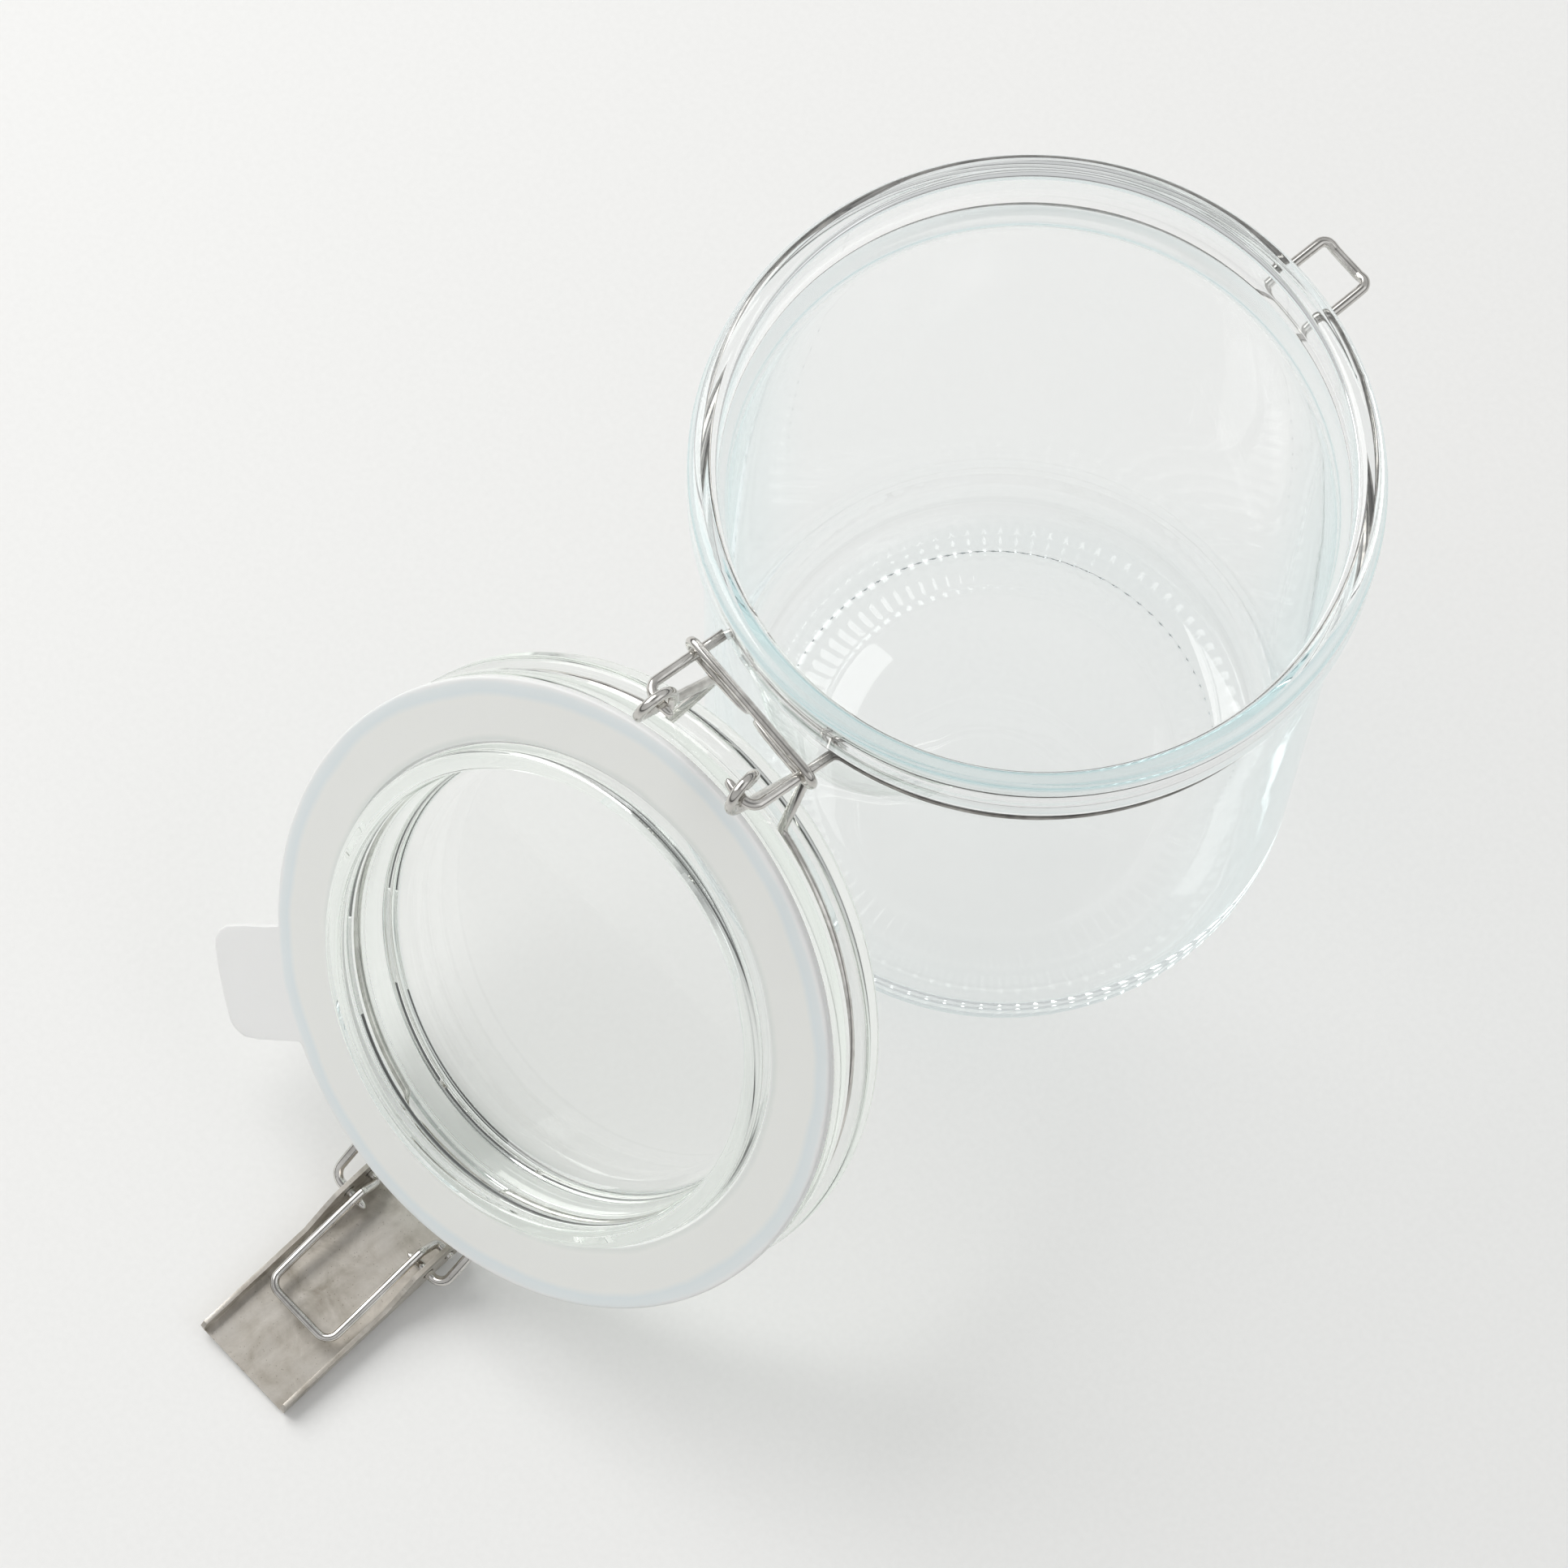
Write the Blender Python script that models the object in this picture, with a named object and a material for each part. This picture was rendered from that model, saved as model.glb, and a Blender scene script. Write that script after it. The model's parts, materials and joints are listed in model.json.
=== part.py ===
"""Glass canister with a wire-hinged glass lid and a lever latch, modelled with the lid hanging open.

Units are metres, +Z is up. The jar stands on Z = 0, its catch faces -Y and its hinge faces +Y. The lid, its
two half wires, the lever and the bail are modelled as they sit when the canister is shut, each around its
own joint axis, and the empties that carry them turn them to the open pose.
"""

import math

import bmesh
import bpy
from mathutils import Vector

MM = 0.001

# Pose of the open canister, in degrees from the shut pose. The loose eyes let the hanging lid sit a little askew.
LID_OPEN = (-231.4, -2.0, 4.9)
LEVER_OPEN = (-41.6, 0.0, 0.0)

# Driving sizes.
JAR_X = 0.14 * MM               # jar axis, so that the open canister is centred on the origin
JAR_Y = -50.96 * MM
JAR_HEIGHT = 127.7 * MM         # table to the top of the rim
RIM_RADIUS = 52.5 * MM
RIM_DEPTH = 9.5 * MM
MOUTH_RADIUS = 48.0 * MM
NECK_RADIUS = 49.3 * MM
BODY_RADIUS = 50.0 * MM
WALL = 3.0 * MM
FOOT_RADIUS = 40.0 * MM         # outer edge of the ring that the jar stands on
FOOT_WIDTH = 3.0 * MM
HEEL_HEIGHT = 15.0 * MM
FLOOR = 5.0 * MM                # thickness of the jar's floor
PUSH_UP = 3.0 * MM              # how far the middle of the floor rises

WIRE = 1.65 * MM                # neck wire, link and lid wires
BAIL_WIRE = 1.4 * MM
GAP = 0.3 * MM

HINGE_Y = 65.0 * MM             # hinge axis behind the jar axis
HINGE_DROP = 11.0 * MM          # hinge axis below the rim
NECK_WIRE_DROP = 13.6 * MM
HINGE_LEG_X = 12.5 * MM
PIN_END_X = 6.3 * MM
EYE_X = 10.2 * MM
EYE_RADIUS = 3.1 * MM
EYE_PITCH = 1.95 * MM
EYE_TURN = 300.0                # degrees of the open eye

CATCH_X = 5.0 * MM
CATCH_Y = 63.2 * MM
CATCH_DROP = 12.3 * MM
CATCH_SAG = 0.8 * MM

LINK_Y = 55.0 * MM
LINK_WIRE = 1.5 * MM
LINK_GAP = 0.35 * MM            # butt joint in the middle of the link's lower bar

LID_RADIUS = 52.5 * MM
LID_TOP = 17.0 * MM             # above the rim when shut
LID_GROOVE_RADIUS = 49.3 * MM
LID_WIRE_RISE = 10.0 * MM
PLUG_RADIUS = 41.6 * MM
PLUG_DEPTH = 2.4 * MM
RECESS_RADIUS = 38.4 * MM
RECESS_TOP = 12.5 * MM
SEAT = 2.2 * MM

GASKET_INNER = 42.0 * MM
GASKET_OUTER = 52.8 * MM
GASKET_THICK = 1.6 * MM
TAB_ANGLE = 44.5                # degrees from the latch towards +X
TAB_REACH = 66.5 * MM
TAB_WIDTH = 20.0 * MM
TAB_CORNER = 4.5 * MM

LATCH_Y = 63.5 * MM             # lever pins in front of the jar axis when shut
LATCH_RISE = 5.0 * MM           # lever pins above the rim when shut
LATCH_WIRE_X = 13.2 * MM
LATCH_PIN_X = 5.0 * MM
LEVER_WIDTH = 20.0 * MM
LEVER_SHEET = 0.8 * MM
LEVER_REACH = 32.6 * MM         # pins to the free end
LEVER_HEAD = 7.6 * MM           # pins to the other end
LEVER_FLOOR = 4.2 * MM          # pins to the outside of the lever's web
FLANGE_HEIGHT = 3.4 * MM
EAR_HEIGHT = 7.4 * MM
EAR_START = 9.5 * MM
BAIL_RISE = 4.6 * MM            # bail pivot beyond the pins
BAIL_OUT = 0.4 * MM
BAIL_X = 7.1 * MM
BAIL_END_X = 10.7 * MM
BAIL_LENGTH = 24.5 * MM
BAIL_ARCH = 2.9 * MM
BAIL_BAR_IN = 0.7 * MM

ROUND = 56                      # steps round the glass
WIRE_RING_STEP = 7.0            # degrees between the points of a wire ring
X_AXIS = Vector((1, 0, 0))
Z_AXIS = Vector((0, 0, 1))


# Scene, materials and placing

def clear_scene():
    for obj in list(bpy.data.objects):
        bpy.data.objects.remove(obj, do_unlink=True)


def material(name, colour, roughness, metallic=0.0, transmission=0.0):
    mat = bpy.data.materials.new(name)
    mat.use_nodes = True
    shader = mat.node_tree.nodes["Principled BSDF"]
    shader.inputs["Base Color"].default_value = (*colour, 1.0)
    shader.inputs["Roughness"].default_value = roughness
    shader.inputs["Metallic"].default_value = metallic
    shader.inputs["Transmission Weight"].default_value = transmission
    return mat


def empty(name, place, turn=(0.0, 0.0, 0.0), parent=None):
    """An empty on a joint's axis, turned by some degrees about X, then Y, then Z."""
    obj = bpy.data.objects.new(name, None)
    obj.location = place
    obj.rotation_euler = [math.radians(angle) for angle in turn]
    obj.parent = parent
    bpy.context.collection.objects.link(obj)
    return obj


def add(name, data, parent, mat):
    obj = bpy.data.objects.new(name, data)
    obj.parent = parent
    obj.data.materials.append(mat)
    bpy.context.collection.objects.link(obj)
    return obj


def mesh_from(bm, name):
    bmesh.ops.recalc_face_normals(bm, faces=bm.faces)
    mesh = bpy.data.meshes.new(name)
    bm.to_mesh(mesh)
    bm.free()
    return mesh


# Outlines and paths

def arc(centre, radius, start, end, steps):
    """Points (r, z) on a circle or, with a pair of radii, an ellipse, from start to end degrees."""
    a, b = radius if isinstance(radius, tuple) else (radius, radius)
    points = []
    for i in range(steps + 1):
        t = math.radians(start + (end - start) * i / steps)
        points.append((centre[0] + a * math.cos(t), centre[1] + b * math.sin(t)))
    return points


def turned(name, outline, centre_y, centre_z, closed):
    """A body turned about the vertical axis through (0, centre_y), from an outline of (radius, height)."""
    bm = bmesh.new()
    verts = [bm.verts.new((r, centre_y, centre_z + z)) for r, z in outline]
    edges = [bm.edges.new(pair) for pair in zip(verts, verts[1:])]
    if closed:
        edges.append(bm.edges.new((verts[-1], verts[0])))
    bmesh.ops.spin(
        bm, geom=verts + edges, cent=(0, centre_y, 0), axis=Z_AXIS, angle=math.tau, steps=ROUND, use_merge=True
    )
    bmesh.ops.remove_doubles(bm, verts=bm.verts, dist=0.00001)
    mesh = mesh_from(bm, name)
    mesh.shade_smooth()
    mesh.set_sharp_from_angle(angle=math.radians(35))
    return mesh


def rounded_path(corners, steps=6):
    """A wire's centre line: (point, bend radius) corners, each bend drawn as an arc."""
    points = [Vector(corners[0][0])]
    for (before, _), (corner, radius), (after, _) in zip(corners, corners[1:], corners[2:]):
        corner = Vector(corner)
        to_before = (Vector(before) - corner).normalized()
        to_after = (Vector(after) - corner).normalized()
        half = to_before.angle(to_after) / 2
        if radius == 0 or half > math.radians(89):
            points.append(corner)
            continue
        reach = radius / math.tan(half)
        middle = (to_before + to_after).normalized()
        centre = corner + middle * (radius / math.sin(half))
        first = corner + to_before * reach - centre
        last = corner + to_after * reach - centre
        sweep = first.angle(last)
        for i in range(steps + 1):
            t = i / steps
            blend = (math.sin((1 - t) * sweep) * first + math.sin(t * sweep) * last) / math.sin(sweep)
            points.append(centre + blend)
    points.append(Vector(corners[-1][0]))
    return points


def wire_mesh(name, points, thickness):
    """A round wire as a bevelled curve with filled ends."""
    curve = bpy.data.curves.new(name, "CURVE")
    curve.dimensions = "3D"
    curve.bevel_depth = thickness / 2
    curve.bevel_resolution = 2
    curve.use_fill_caps = True
    spline = curve.splines.new("POLY")
    spline.points.add(len(points) - 1)
    for target, point in zip(spline.points, points):
        target.co = (*point, 1)
    return curve


def ring_run(radius, z, start_x, end_x, side):
    """Corners along a wire ring round the vertical axis, from start_x at the front to end_x at the back."""
    start = math.asin(start_x / radius)
    end = math.pi - math.asin(end_x / radius)
    steps = round(math.degrees(end - start) / WIRE_RING_STEP)
    run = []
    for i in range(steps + 1):
        t = start + (end - start) * i / steps
        run.append(((side * radius * math.sin(t), -radius * math.cos(t), z), 0.0))
    return run


# Cutting

def block(name, low, high, parent):
    """A box between two corners, in its parent's space."""
    bm = bmesh.new()
    bmesh.ops.create_cube(bm, size=1.0)
    size = [b - a for a, b in zip(low, high)]
    middle = [(a + b) / 2 for a, b in zip(low, high)]
    bmesh.ops.scale(bm, vec=size, verts=bm.verts)
    bmesh.ops.translate(bm, vec=middle, verts=bm.verts)
    obj = bpy.data.objects.new(name, mesh_from(bm, name))
    obj.parent = parent
    bpy.context.collection.objects.link(obj)
    return obj


def cross_pin(name, y, z, radius, length, parent):
    """A cylinder along X, used to drill both ears at once."""
    bm = bmesh.new()
    bmesh.ops.create_cone(bm, cap_ends=True, segments=20, radius1=radius, radius2=radius, depth=length)
    turn = Z_AXIS.rotation_difference(X_AXIS).to_matrix()
    bmesh.ops.rotate(bm, cent=(0, 0, 0), matrix=turn, verts=bm.verts)
    bmesh.ops.translate(bm, vec=(0, y, z), verts=bm.verts)
    obj = bpy.data.objects.new(name, mesh_from(bm, name))
    obj.parent = parent
    bpy.context.collection.objects.link(obj)
    return obj


def cut(target, cutter, operation="DIFFERENCE"):
    modifier = target.modifiers.new(cutter.name, "BOOLEAN")
    modifier.operation = operation
    modifier.solver = "EXACT"
    modifier.object = cutter
    cutter.hide_render = True
    cutter.display_type = "WIRE"


# The pieces that stay with the jar

def glass_jar(root, mat):
    """Turned jar: footring, heel, straight body, neck groove for the wire, rolled rim, open mouth."""
    top = JAR_HEIGHT
    neck_top = top - RIM_DEPTH
    neck_low = top - NECK_WIRE_DROP - 2.6 * MM
    inside = BODY_RADIUS - WALL
    outline = [(0, PUSH_UP), (FOOT_RADIUS - 12 * MM, PUSH_UP), (FOOT_RADIUS - FOOT_WIDTH, 0), (FOOT_RADIUS, 0)]
    outline += arc((FOOT_RADIUS, HEEL_HEIGHT), (BODY_RADIUS - FOOT_RADIUS, HEEL_HEIGHT), -75, 0, 5)
    outline += [(BODY_RADIUS, neck_low - 1.4 * MM), (NECK_RADIUS, neck_low)]
    outline += [(NECK_RADIUS, neck_top - 0.4 * MM), (RIM_RADIUS - 1.4 * MM, neck_top)]
    outline += arc((RIM_RADIUS - 1.2 * MM, neck_top + 1.6 * MM), 1.2 * MM, -60, 0, 2)
    outline += arc((RIM_RADIUS - 1.6 * MM, top - 1.6 * MM), 1.6 * MM, 0, 90, 4)
    outline += arc((MOUTH_RADIUS + 1.3 * MM, top - 1.3 * MM), 1.3 * MM, 90, 180, 3)
    outline += [(MOUTH_RADIUS, neck_top), (MOUTH_RADIUS - 1.8 * MM, neck_top - 4 * MM)]
    outline += [(MOUTH_RADIUS - 1.8 * MM, neck_low), (inside, neck_low - 5 * MM)]
    outline += arc((inside - 9 * MM, FLOOR + 9 * MM), 9 * MM, 0, -90, 5)
    outline += [(FOOT_RADIUS - 12 * MM, FLOOR + PUSH_UP * 0.6), (0, FLOOR + PUSH_UP)]
    return add("glass_jar", turned("glass_jar", outline, 0, 0, closed=False), root, mat)


def neck_wire(root, mat):
    """One wire: two hinge pins, two legs, the ring in the neck groove and the catch at the front."""
    ring_z = JAR_HEIGHT - NECK_WIRE_DROP
    radius = NECK_RADIUS + GAP + WIRE / 2
    pin_z = JAR_HEIGHT - HINGE_DROP
    catch_z = JAR_HEIGHT - CATCH_DROP
    half = []
    for side in (1, -1):
        run = ring_run(radius, ring_z, CATCH_X, HINGE_LEG_X, side)
        run[0] = (run[0][0], 1.6 * MM)
        run[-1] = (run[-1][0], 1.8 * MM)
        front = [
            ((0, -CATCH_Y, catch_z - CATCH_SAG), 6.0 * MM),
            ((side * CATCH_X * 0.55, -CATCH_Y, catch_z - CATCH_SAG), 2.0 * MM),
            ((side * CATCH_X, -CATCH_Y, catch_z), 1.5 * MM),
        ]
        back = [
            ((side * HINGE_LEG_X, HINGE_Y, pin_z), 2.1 * MM),
            ((side * PIN_END_X, HINGE_Y, pin_z), 0.0),
        ]
        half.append(front + run + back)
    corners = list(reversed(half[0])) + half[1][1:]
    return add("neck_wire", wire_mesh("neck_wire", rounded_path(corners), WIRE), root, mat)


def hinge_link(root, mat):
    """Flat ring round both hinge legs, bent from one wire whose ends meet under the legs."""
    leg_share = (LINK_Y - NECK_RADIUS) / (HINGE_Y - NECK_RADIUS)
    leg_z = JAR_HEIGHT - NECK_WIRE_DROP + (NECK_WIRE_DROP - HINGE_DROP) * leg_share
    half_height = (WIRE + LINK_WIRE) / 2 + GAP + 0.1 * MM
    points = [(LINK_GAP / 2, LINK_Y, leg_z - half_height)]
    for side in (1, -1):
        for i in range(9):
            t = math.radians(-90 + 180 * i / 8) * side
            points.append((side * (HINGE_LEG_X + half_height * math.cos(t)), LINK_Y, leg_z + half_height * math.sin(t)))
    points.append((-LINK_GAP / 2, LINK_Y, leg_z - half_height))
    return add("hinge_link", wire_mesh("hinge_link", points, LINK_WIRE), root, mat)


# The pieces that turn with the lid, in a space whose origin is the hinge axis

def glass_lid(hinge, mat):
    """Pressed lid: flat top, wire groove round the side, gasket seat, plug ring and hollow underside."""
    groove_low = LID_WIRE_RISE - WIRE / 2 - 1.4 * MM
    groove_high = LID_WIRE_RISE + WIRE / 2 + 0.6 * MM
    outline = [(0, LID_TOP - 0.6 * MM), (LID_RADIUS - 8 * MM, LID_TOP - 0.6 * MM), (LID_RADIUS - 6.5 * MM, LID_TOP)]
    outline += arc((LID_RADIUS - 1.6 * MM, LID_TOP - 1.6 * MM), 1.6 * MM, 90, 0, 4)
    outline += arc((LID_RADIUS - 0.8 * MM, groove_high + 1.0 * MM), 0.8 * MM, 0, -70, 2)
    outline += [(LID_GROOVE_RADIUS, groove_high), (LID_GROOVE_RADIUS, groove_low)]
    outline += arc((LID_RADIUS - 1.0 * MM, groove_low - 0.8 * MM), 0.7 * MM, 70, 0, 2)
    outline += arc((LID_RADIUS - 2.1 * MM, SEAT + 1.8 * MM), 1.8 * MM, 0, -80, 4)
    outline += [(PLUG_RADIUS, SEAT)]
    outline += arc((PLUG_RADIUS - 1.2 * MM, -PLUG_DEPTH + 1.2 * MM), 1.2 * MM, 0, -90, 3)
    outline += arc((RECESS_RADIUS + 0.9 * MM, -PLUG_DEPTH + 0.9 * MM), 0.9 * MM, -90, -180, 3)
    outline += arc((RECESS_RADIUS - 3.0 * MM, RECESS_TOP - 2.0 * MM), 2.0 * MM, 0, 90, 3)
    outline += [(0, RECESS_TOP)]
    mesh = turned("glass_lid", outline, -HINGE_Y, HINGE_DROP, closed=False)
    return add("glass_lid", mesh, hinge, mat)


def gasket(hinge, mat):
    """Flat silicone ring under the lid, with a pull tab beside the latch."""
    low = GAP
    half = GASKET_THICK / 2
    outline = arc((GASKET_OUTER - half, low + half), half, -90, 90, 4)
    outline += [(GASKET_INNER, low + GASKET_THICK), (GASKET_INNER, low)]
    ring = add("gasket", turned("gasket", outline, -HINGE_Y, HINGE_DROP, closed=True), hinge, mat)
    inner = GASKET_OUTER - 4 * MM
    bm = bmesh.new()
    corners = []
    for side in (-1, 1):
        centre = (TAB_REACH - TAB_CORNER, side * (TAB_WIDTH / 2 - TAB_CORNER))
        start, end = (-90, 0) if side < 0 else (0, 90)
        corners += arc(centre, TAB_CORNER, start, end, 5)
    flat = [(inner, -TAB_WIDTH / 2)] + corners + [(inner, TAB_WIDTH / 2)]
    turn = math.radians(TAB_ANGLE - 90)
    verts = []
    for reach, across in flat:
        x = reach * math.cos(turn) - across * math.sin(turn)
        y = reach * math.sin(turn) + across * math.cos(turn)
        verts.append(bm.verts.new((x, y - HINGE_Y, HINGE_DROP + low + 0.1 * MM)))
    face = bm.faces.new(verts)
    grown = bmesh.ops.extrude_face_region(bm, geom=[face])
    moved = [item for item in grown["geom"] if isinstance(item, bmesh.types.BMVert)]
    bmesh.ops.translate(bm, vec=(0, 0, GASKET_THICK - 0.2 * MM), verts=moved)
    tab = bpy.data.objects.new("tab_form", mesh_from(bm, "tab_form"))
    tab.parent = hinge
    bpy.context.collection.objects.link(tab)
    cut(ring, tab, "UNION")
    return ring


def lid_wire(hinge, name, side, mat):
    """Half of the lid's wire: eye round the hinge pin, run in the lid's groove, pin through the lever's ear."""
    radius = LID_GROOVE_RADIUS + GAP + WIRE / 2
    rise = LID_WIRE_RISE + HINGE_DROP
    run = ring_run(radius, rise, LATCH_WIRE_X, HINGE_LEG_X - 0.2 * MM, side)
    run = [((x, y - HINGE_Y, z), 0.0) for (x, y, z), _ in run]
    run[0] = (run[0][0], 1.6 * MM)
    run[-1] = (run[-1][0], 1.6 * MM)
    pin = (side * LATCH_PIN_X, -HINGE_Y - LATCH_Y, HINGE_DROP + LATCH_RISE)
    front = [(pin, 0.0), ((side * LATCH_WIRE_X, pin[1], pin[2]), 2.4 * MM)]
    back = [
        ((side * EYE_X, -EYE_RADIUS - 1.0 * MM, rise + 0.5 * MM), 1.8 * MM),
        ((side * EYE_X, -EYE_RADIUS, 0), 0.0),
    ]
    points = rounded_path(front + run + back)
    steps = 16
    for i in range(1, steps + 1):
        t = math.radians(180 + EYE_TURN * i / steps)
        x = side * (EYE_X - EYE_PITCH * i / steps)
        points.append(Vector((x, EYE_RADIUS * math.cos(t), EYE_RADIUS * math.sin(t))))
    return add(name, wire_mesh(name, points, WIRE), hinge, mat)


# The latch, in spaces whose origins are the lever's pins and the bail's pivot

def latch_lever(pins, mat):
    """Folded sheet channel with low flanges, two tall ears and holes for the pins and the bail."""
    web = -LEVER_FLOOR
    outline = [(web, -LEVER_REACH), (web + FLANGE_HEIGHT - 0.8 * MM, -LEVER_REACH)]
    outline += [(web + FLANGE_HEIGHT, -LEVER_REACH + 0.8 * MM), (web + FLANGE_HEIGHT, -EAR_START)]
    outline += [(web + FLANGE_HEIGHT + 0.8 * MM, -EAR_START + 1.4 * MM), (web + EAR_HEIGHT - 1.2 * MM, -4.6 * MM)]
    outline += arc((web + EAR_HEIGHT - 3.2 * MM, -1.4 * MM), 3.2 * MM, -40, 0, 3)
    outline += arc((web + EAR_HEIGHT - 3.2 * MM, LEVER_HEAD - 3.2 * MM), 3.2 * MM, 0, 90, 5)
    outline += [(web, LEVER_HEAD)]
    bm = bmesh.new()
    half = LEVER_WIDTH / 2
    face = bm.faces.new([bm.verts.new((-half, y, z)) for y, z in outline])
    grown = bmesh.ops.extrude_face_region(bm, geom=[face])
    moved = [item for item in grown["geom"] if isinstance(item, bmesh.types.BMVert)]
    bmesh.ops.translate(bm, vec=(LEVER_WIDTH, 0, 0), verts=moved)
    fold = [
        edge for edge in bm.edges
        if all(abs(v.co.y - web) < 0.01 * MM for v in edge.verts) and abs(edge.verts[0].co.x - edge.verts[1].co.x) < MM
    ]
    bmesh.ops.bevel(
        bm, geom=fold, offset=1.1 * MM, offset_type="OFFSET", segments=3, profile=0.5, affect="EDGES", material=-1
    )
    lever = add("latch_lever", mesh_from(bm, "latch_lever"), pins, mat)
    side = half - LEVER_SHEET
    inside = block(
        "lever_inside", (-side, web + LEVER_SHEET, -LEVER_REACH - MM), (side, web + 20 * MM, LEVER_HEAD + MM), pins
    )
    cut(lever, inside)
    cut(lever, cross_pin("pin_drill", 0, 0, WIRE / 2 + GAP, LEVER_WIDTH + 4 * MM, pins))
    cut(lever, cross_pin("bail_drill", -BAIL_OUT, BAIL_RISE, BAIL_WIRE / 2 + GAP, LEVER_WIDTH + 4 * MM, pins))
    return lever


def bail(pivot, mat):
    """Rectangular wire loop: ends through the ears, legs arched over the pins, bar that hooks the catch."""
    half = []
    for side in (1, -1):
        half.append([
            ((side * BAIL_END_X, 0, 0), 0.0),
            ((side * BAIL_X, 0, 0), 1.0 * MM),
            ((side * BAIL_X, BAIL_ARCH, -3.0 * MM), 1.5 * MM),
            ((side * BAIL_X, BAIL_ARCH, -BAIL_RISE - 1.5 * MM), 6.0 * MM),
            ((side * BAIL_X, BAIL_BAR_IN, -BAIL_LENGTH), 2.4 * MM),
        ])
    corners = half[0] + list(reversed(half[1]))
    return add("bail", wire_mesh("bail", rounded_path(corners), BAIL_WIRE), pivot, mat)


def build():
    clear_scene()
    jar_glass = material("clear_glass", (0.86, 0.95, 0.95), 0.03, transmission=1.0)
    lid_glass = material("lid_glass", (0.88, 0.95, 0.90), 0.03, transmission=1.0)
    steel = material("stainless_wire", (0.62, 0.60, 0.57), 0.22, metallic=1.0)
    sheet_steel = material("stainless_sheet", (0.50, 0.47, 0.43), 0.42, metallic=1.0)
    silicone = material("silicone", (0.88, 0.89, 0.86), 0.45)

    root = empty("jar_axis", (JAR_X, JAR_Y, 0))
    hinge = empty("lid_hinge_axis", (0, HINGE_Y, JAR_HEIGHT - HINGE_DROP), LID_OPEN, root)
    pin_place = (0, -HINGE_Y - LATCH_Y, HINGE_DROP + LATCH_RISE)
    pins = empty("lever_axis", pin_place, LEVER_OPEN, hinge)
    pivot = empty("bail_axis", (0, -BAIL_OUT, BAIL_RISE), parent=pins)

    glass_jar(root, jar_glass)
    neck_wire(root, steel)
    hinge_link(root, steel)
    glass_lid(hinge, lid_glass)
    gasket(hinge, silicone)
    for name, side in (("lid_wire_left", -1), ("lid_wire_right", 1)):
        lid_wire(hinge, name, side, steel)
    latch_lever(pins, sheet_steel)
    bail(pivot, steel)


build()
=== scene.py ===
"""Looks of the wire-hinged glass canister: fine glass, silicone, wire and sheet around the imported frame."""

import json
import math

import bmesh
import bpy
from mathutils import Matrix, Vector


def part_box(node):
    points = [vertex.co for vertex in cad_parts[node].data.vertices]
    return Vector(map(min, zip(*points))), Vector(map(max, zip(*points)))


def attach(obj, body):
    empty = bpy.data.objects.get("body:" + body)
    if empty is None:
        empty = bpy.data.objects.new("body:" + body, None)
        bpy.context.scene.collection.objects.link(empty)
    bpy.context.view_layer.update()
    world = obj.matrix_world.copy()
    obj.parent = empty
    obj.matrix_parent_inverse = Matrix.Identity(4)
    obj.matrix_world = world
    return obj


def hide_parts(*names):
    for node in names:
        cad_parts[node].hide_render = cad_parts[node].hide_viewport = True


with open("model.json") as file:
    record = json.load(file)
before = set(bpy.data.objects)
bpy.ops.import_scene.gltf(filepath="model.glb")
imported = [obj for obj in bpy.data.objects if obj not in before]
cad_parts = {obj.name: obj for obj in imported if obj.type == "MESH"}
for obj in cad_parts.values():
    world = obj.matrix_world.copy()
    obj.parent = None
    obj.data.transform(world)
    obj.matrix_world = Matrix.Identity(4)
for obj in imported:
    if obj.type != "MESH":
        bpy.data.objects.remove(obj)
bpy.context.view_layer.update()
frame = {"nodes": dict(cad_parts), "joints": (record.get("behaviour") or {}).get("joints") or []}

MM = 0.001

# Driving places, from the frame
jar_low, jar_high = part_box("glass_jar")
JAR_X = (jar_low.x + jar_high.x) / 2
JAR_Y = (jar_low.y + jar_high.y) / 2
RIM_TOP = jar_high.z
RIM_RADIUS = (jar_high.x - jar_low.x) / 2

# Jar
RIM_DEPTH = 9.4 * MM
MOUTH_RADIUS = 48.0 * MM
NECK_RADIUS = 49.2 * MM
NECK_LOW = RIM_TOP - 16.2 * MM
BODY_RADIUS = 49.9 * MM
WALL = 3.0 * MM
FOOT_OUT = 40.9 * MM
FOOT_IN = 37.9 * MM
PUSH_EDGE = 30.5 * MM
HEEL_HEIGHT = 15.5 * MM
FLOOR_TOP = 5.6 * MM
FLOOR_RISE = 2.2 * MM
JAR_STEPS = 360
KNURL_DEPTH = 0.34 * MM
KNURL_COLUMNS = 4               # columns of the turned jar to one knurl
SEAM_HEIGHT = 0.09 * MM
SEAM_STEPS = (68, 248)          # columns of the turned jar that carry the mould seam

# Lid, in heights above the jar's rim when shut
LID_RADIUS = 52.4 * MM
LID_TOP = 17.0 * MM
LID_PANEL = 16.2 * MM
GROOVE_RADIUS = 49.3 * MM
GROOVE_HIGH = 11.5 * MM
GROOVE_LOW = 7.8 * MM
SEAT = 2.1 * MM
PLUG_RADIUS = 41.7 * MM
PLUG_LOW = -2.35 * MM
RECESS_RADIUS = 38.4 * MM
RECESS_TOP = 12.4 * MM
LID_STEPS = 360

# Gasket
GASKET_INNER = 42.0 * MM
GASKET_OUTER = 52.8 * MM
GASKET_LOW = 0.3 * MM
GASKET_THICK = 1.55 * MM
TAB_ANGLE = 44.5                # degrees from the latch towards +X
TAB_REACH = 66.3 * MM
TAB_HALF = 9.9 * MM
TAB_CORNER = 4.6 * MM
GASKET_STEPS = 480

# Wire and sheet
WIRE_SPREAD = 0.13 * MM         # makes up for the rounding of the wires' flats
SHEARED_EDGE = 0.14 * MM

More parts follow.
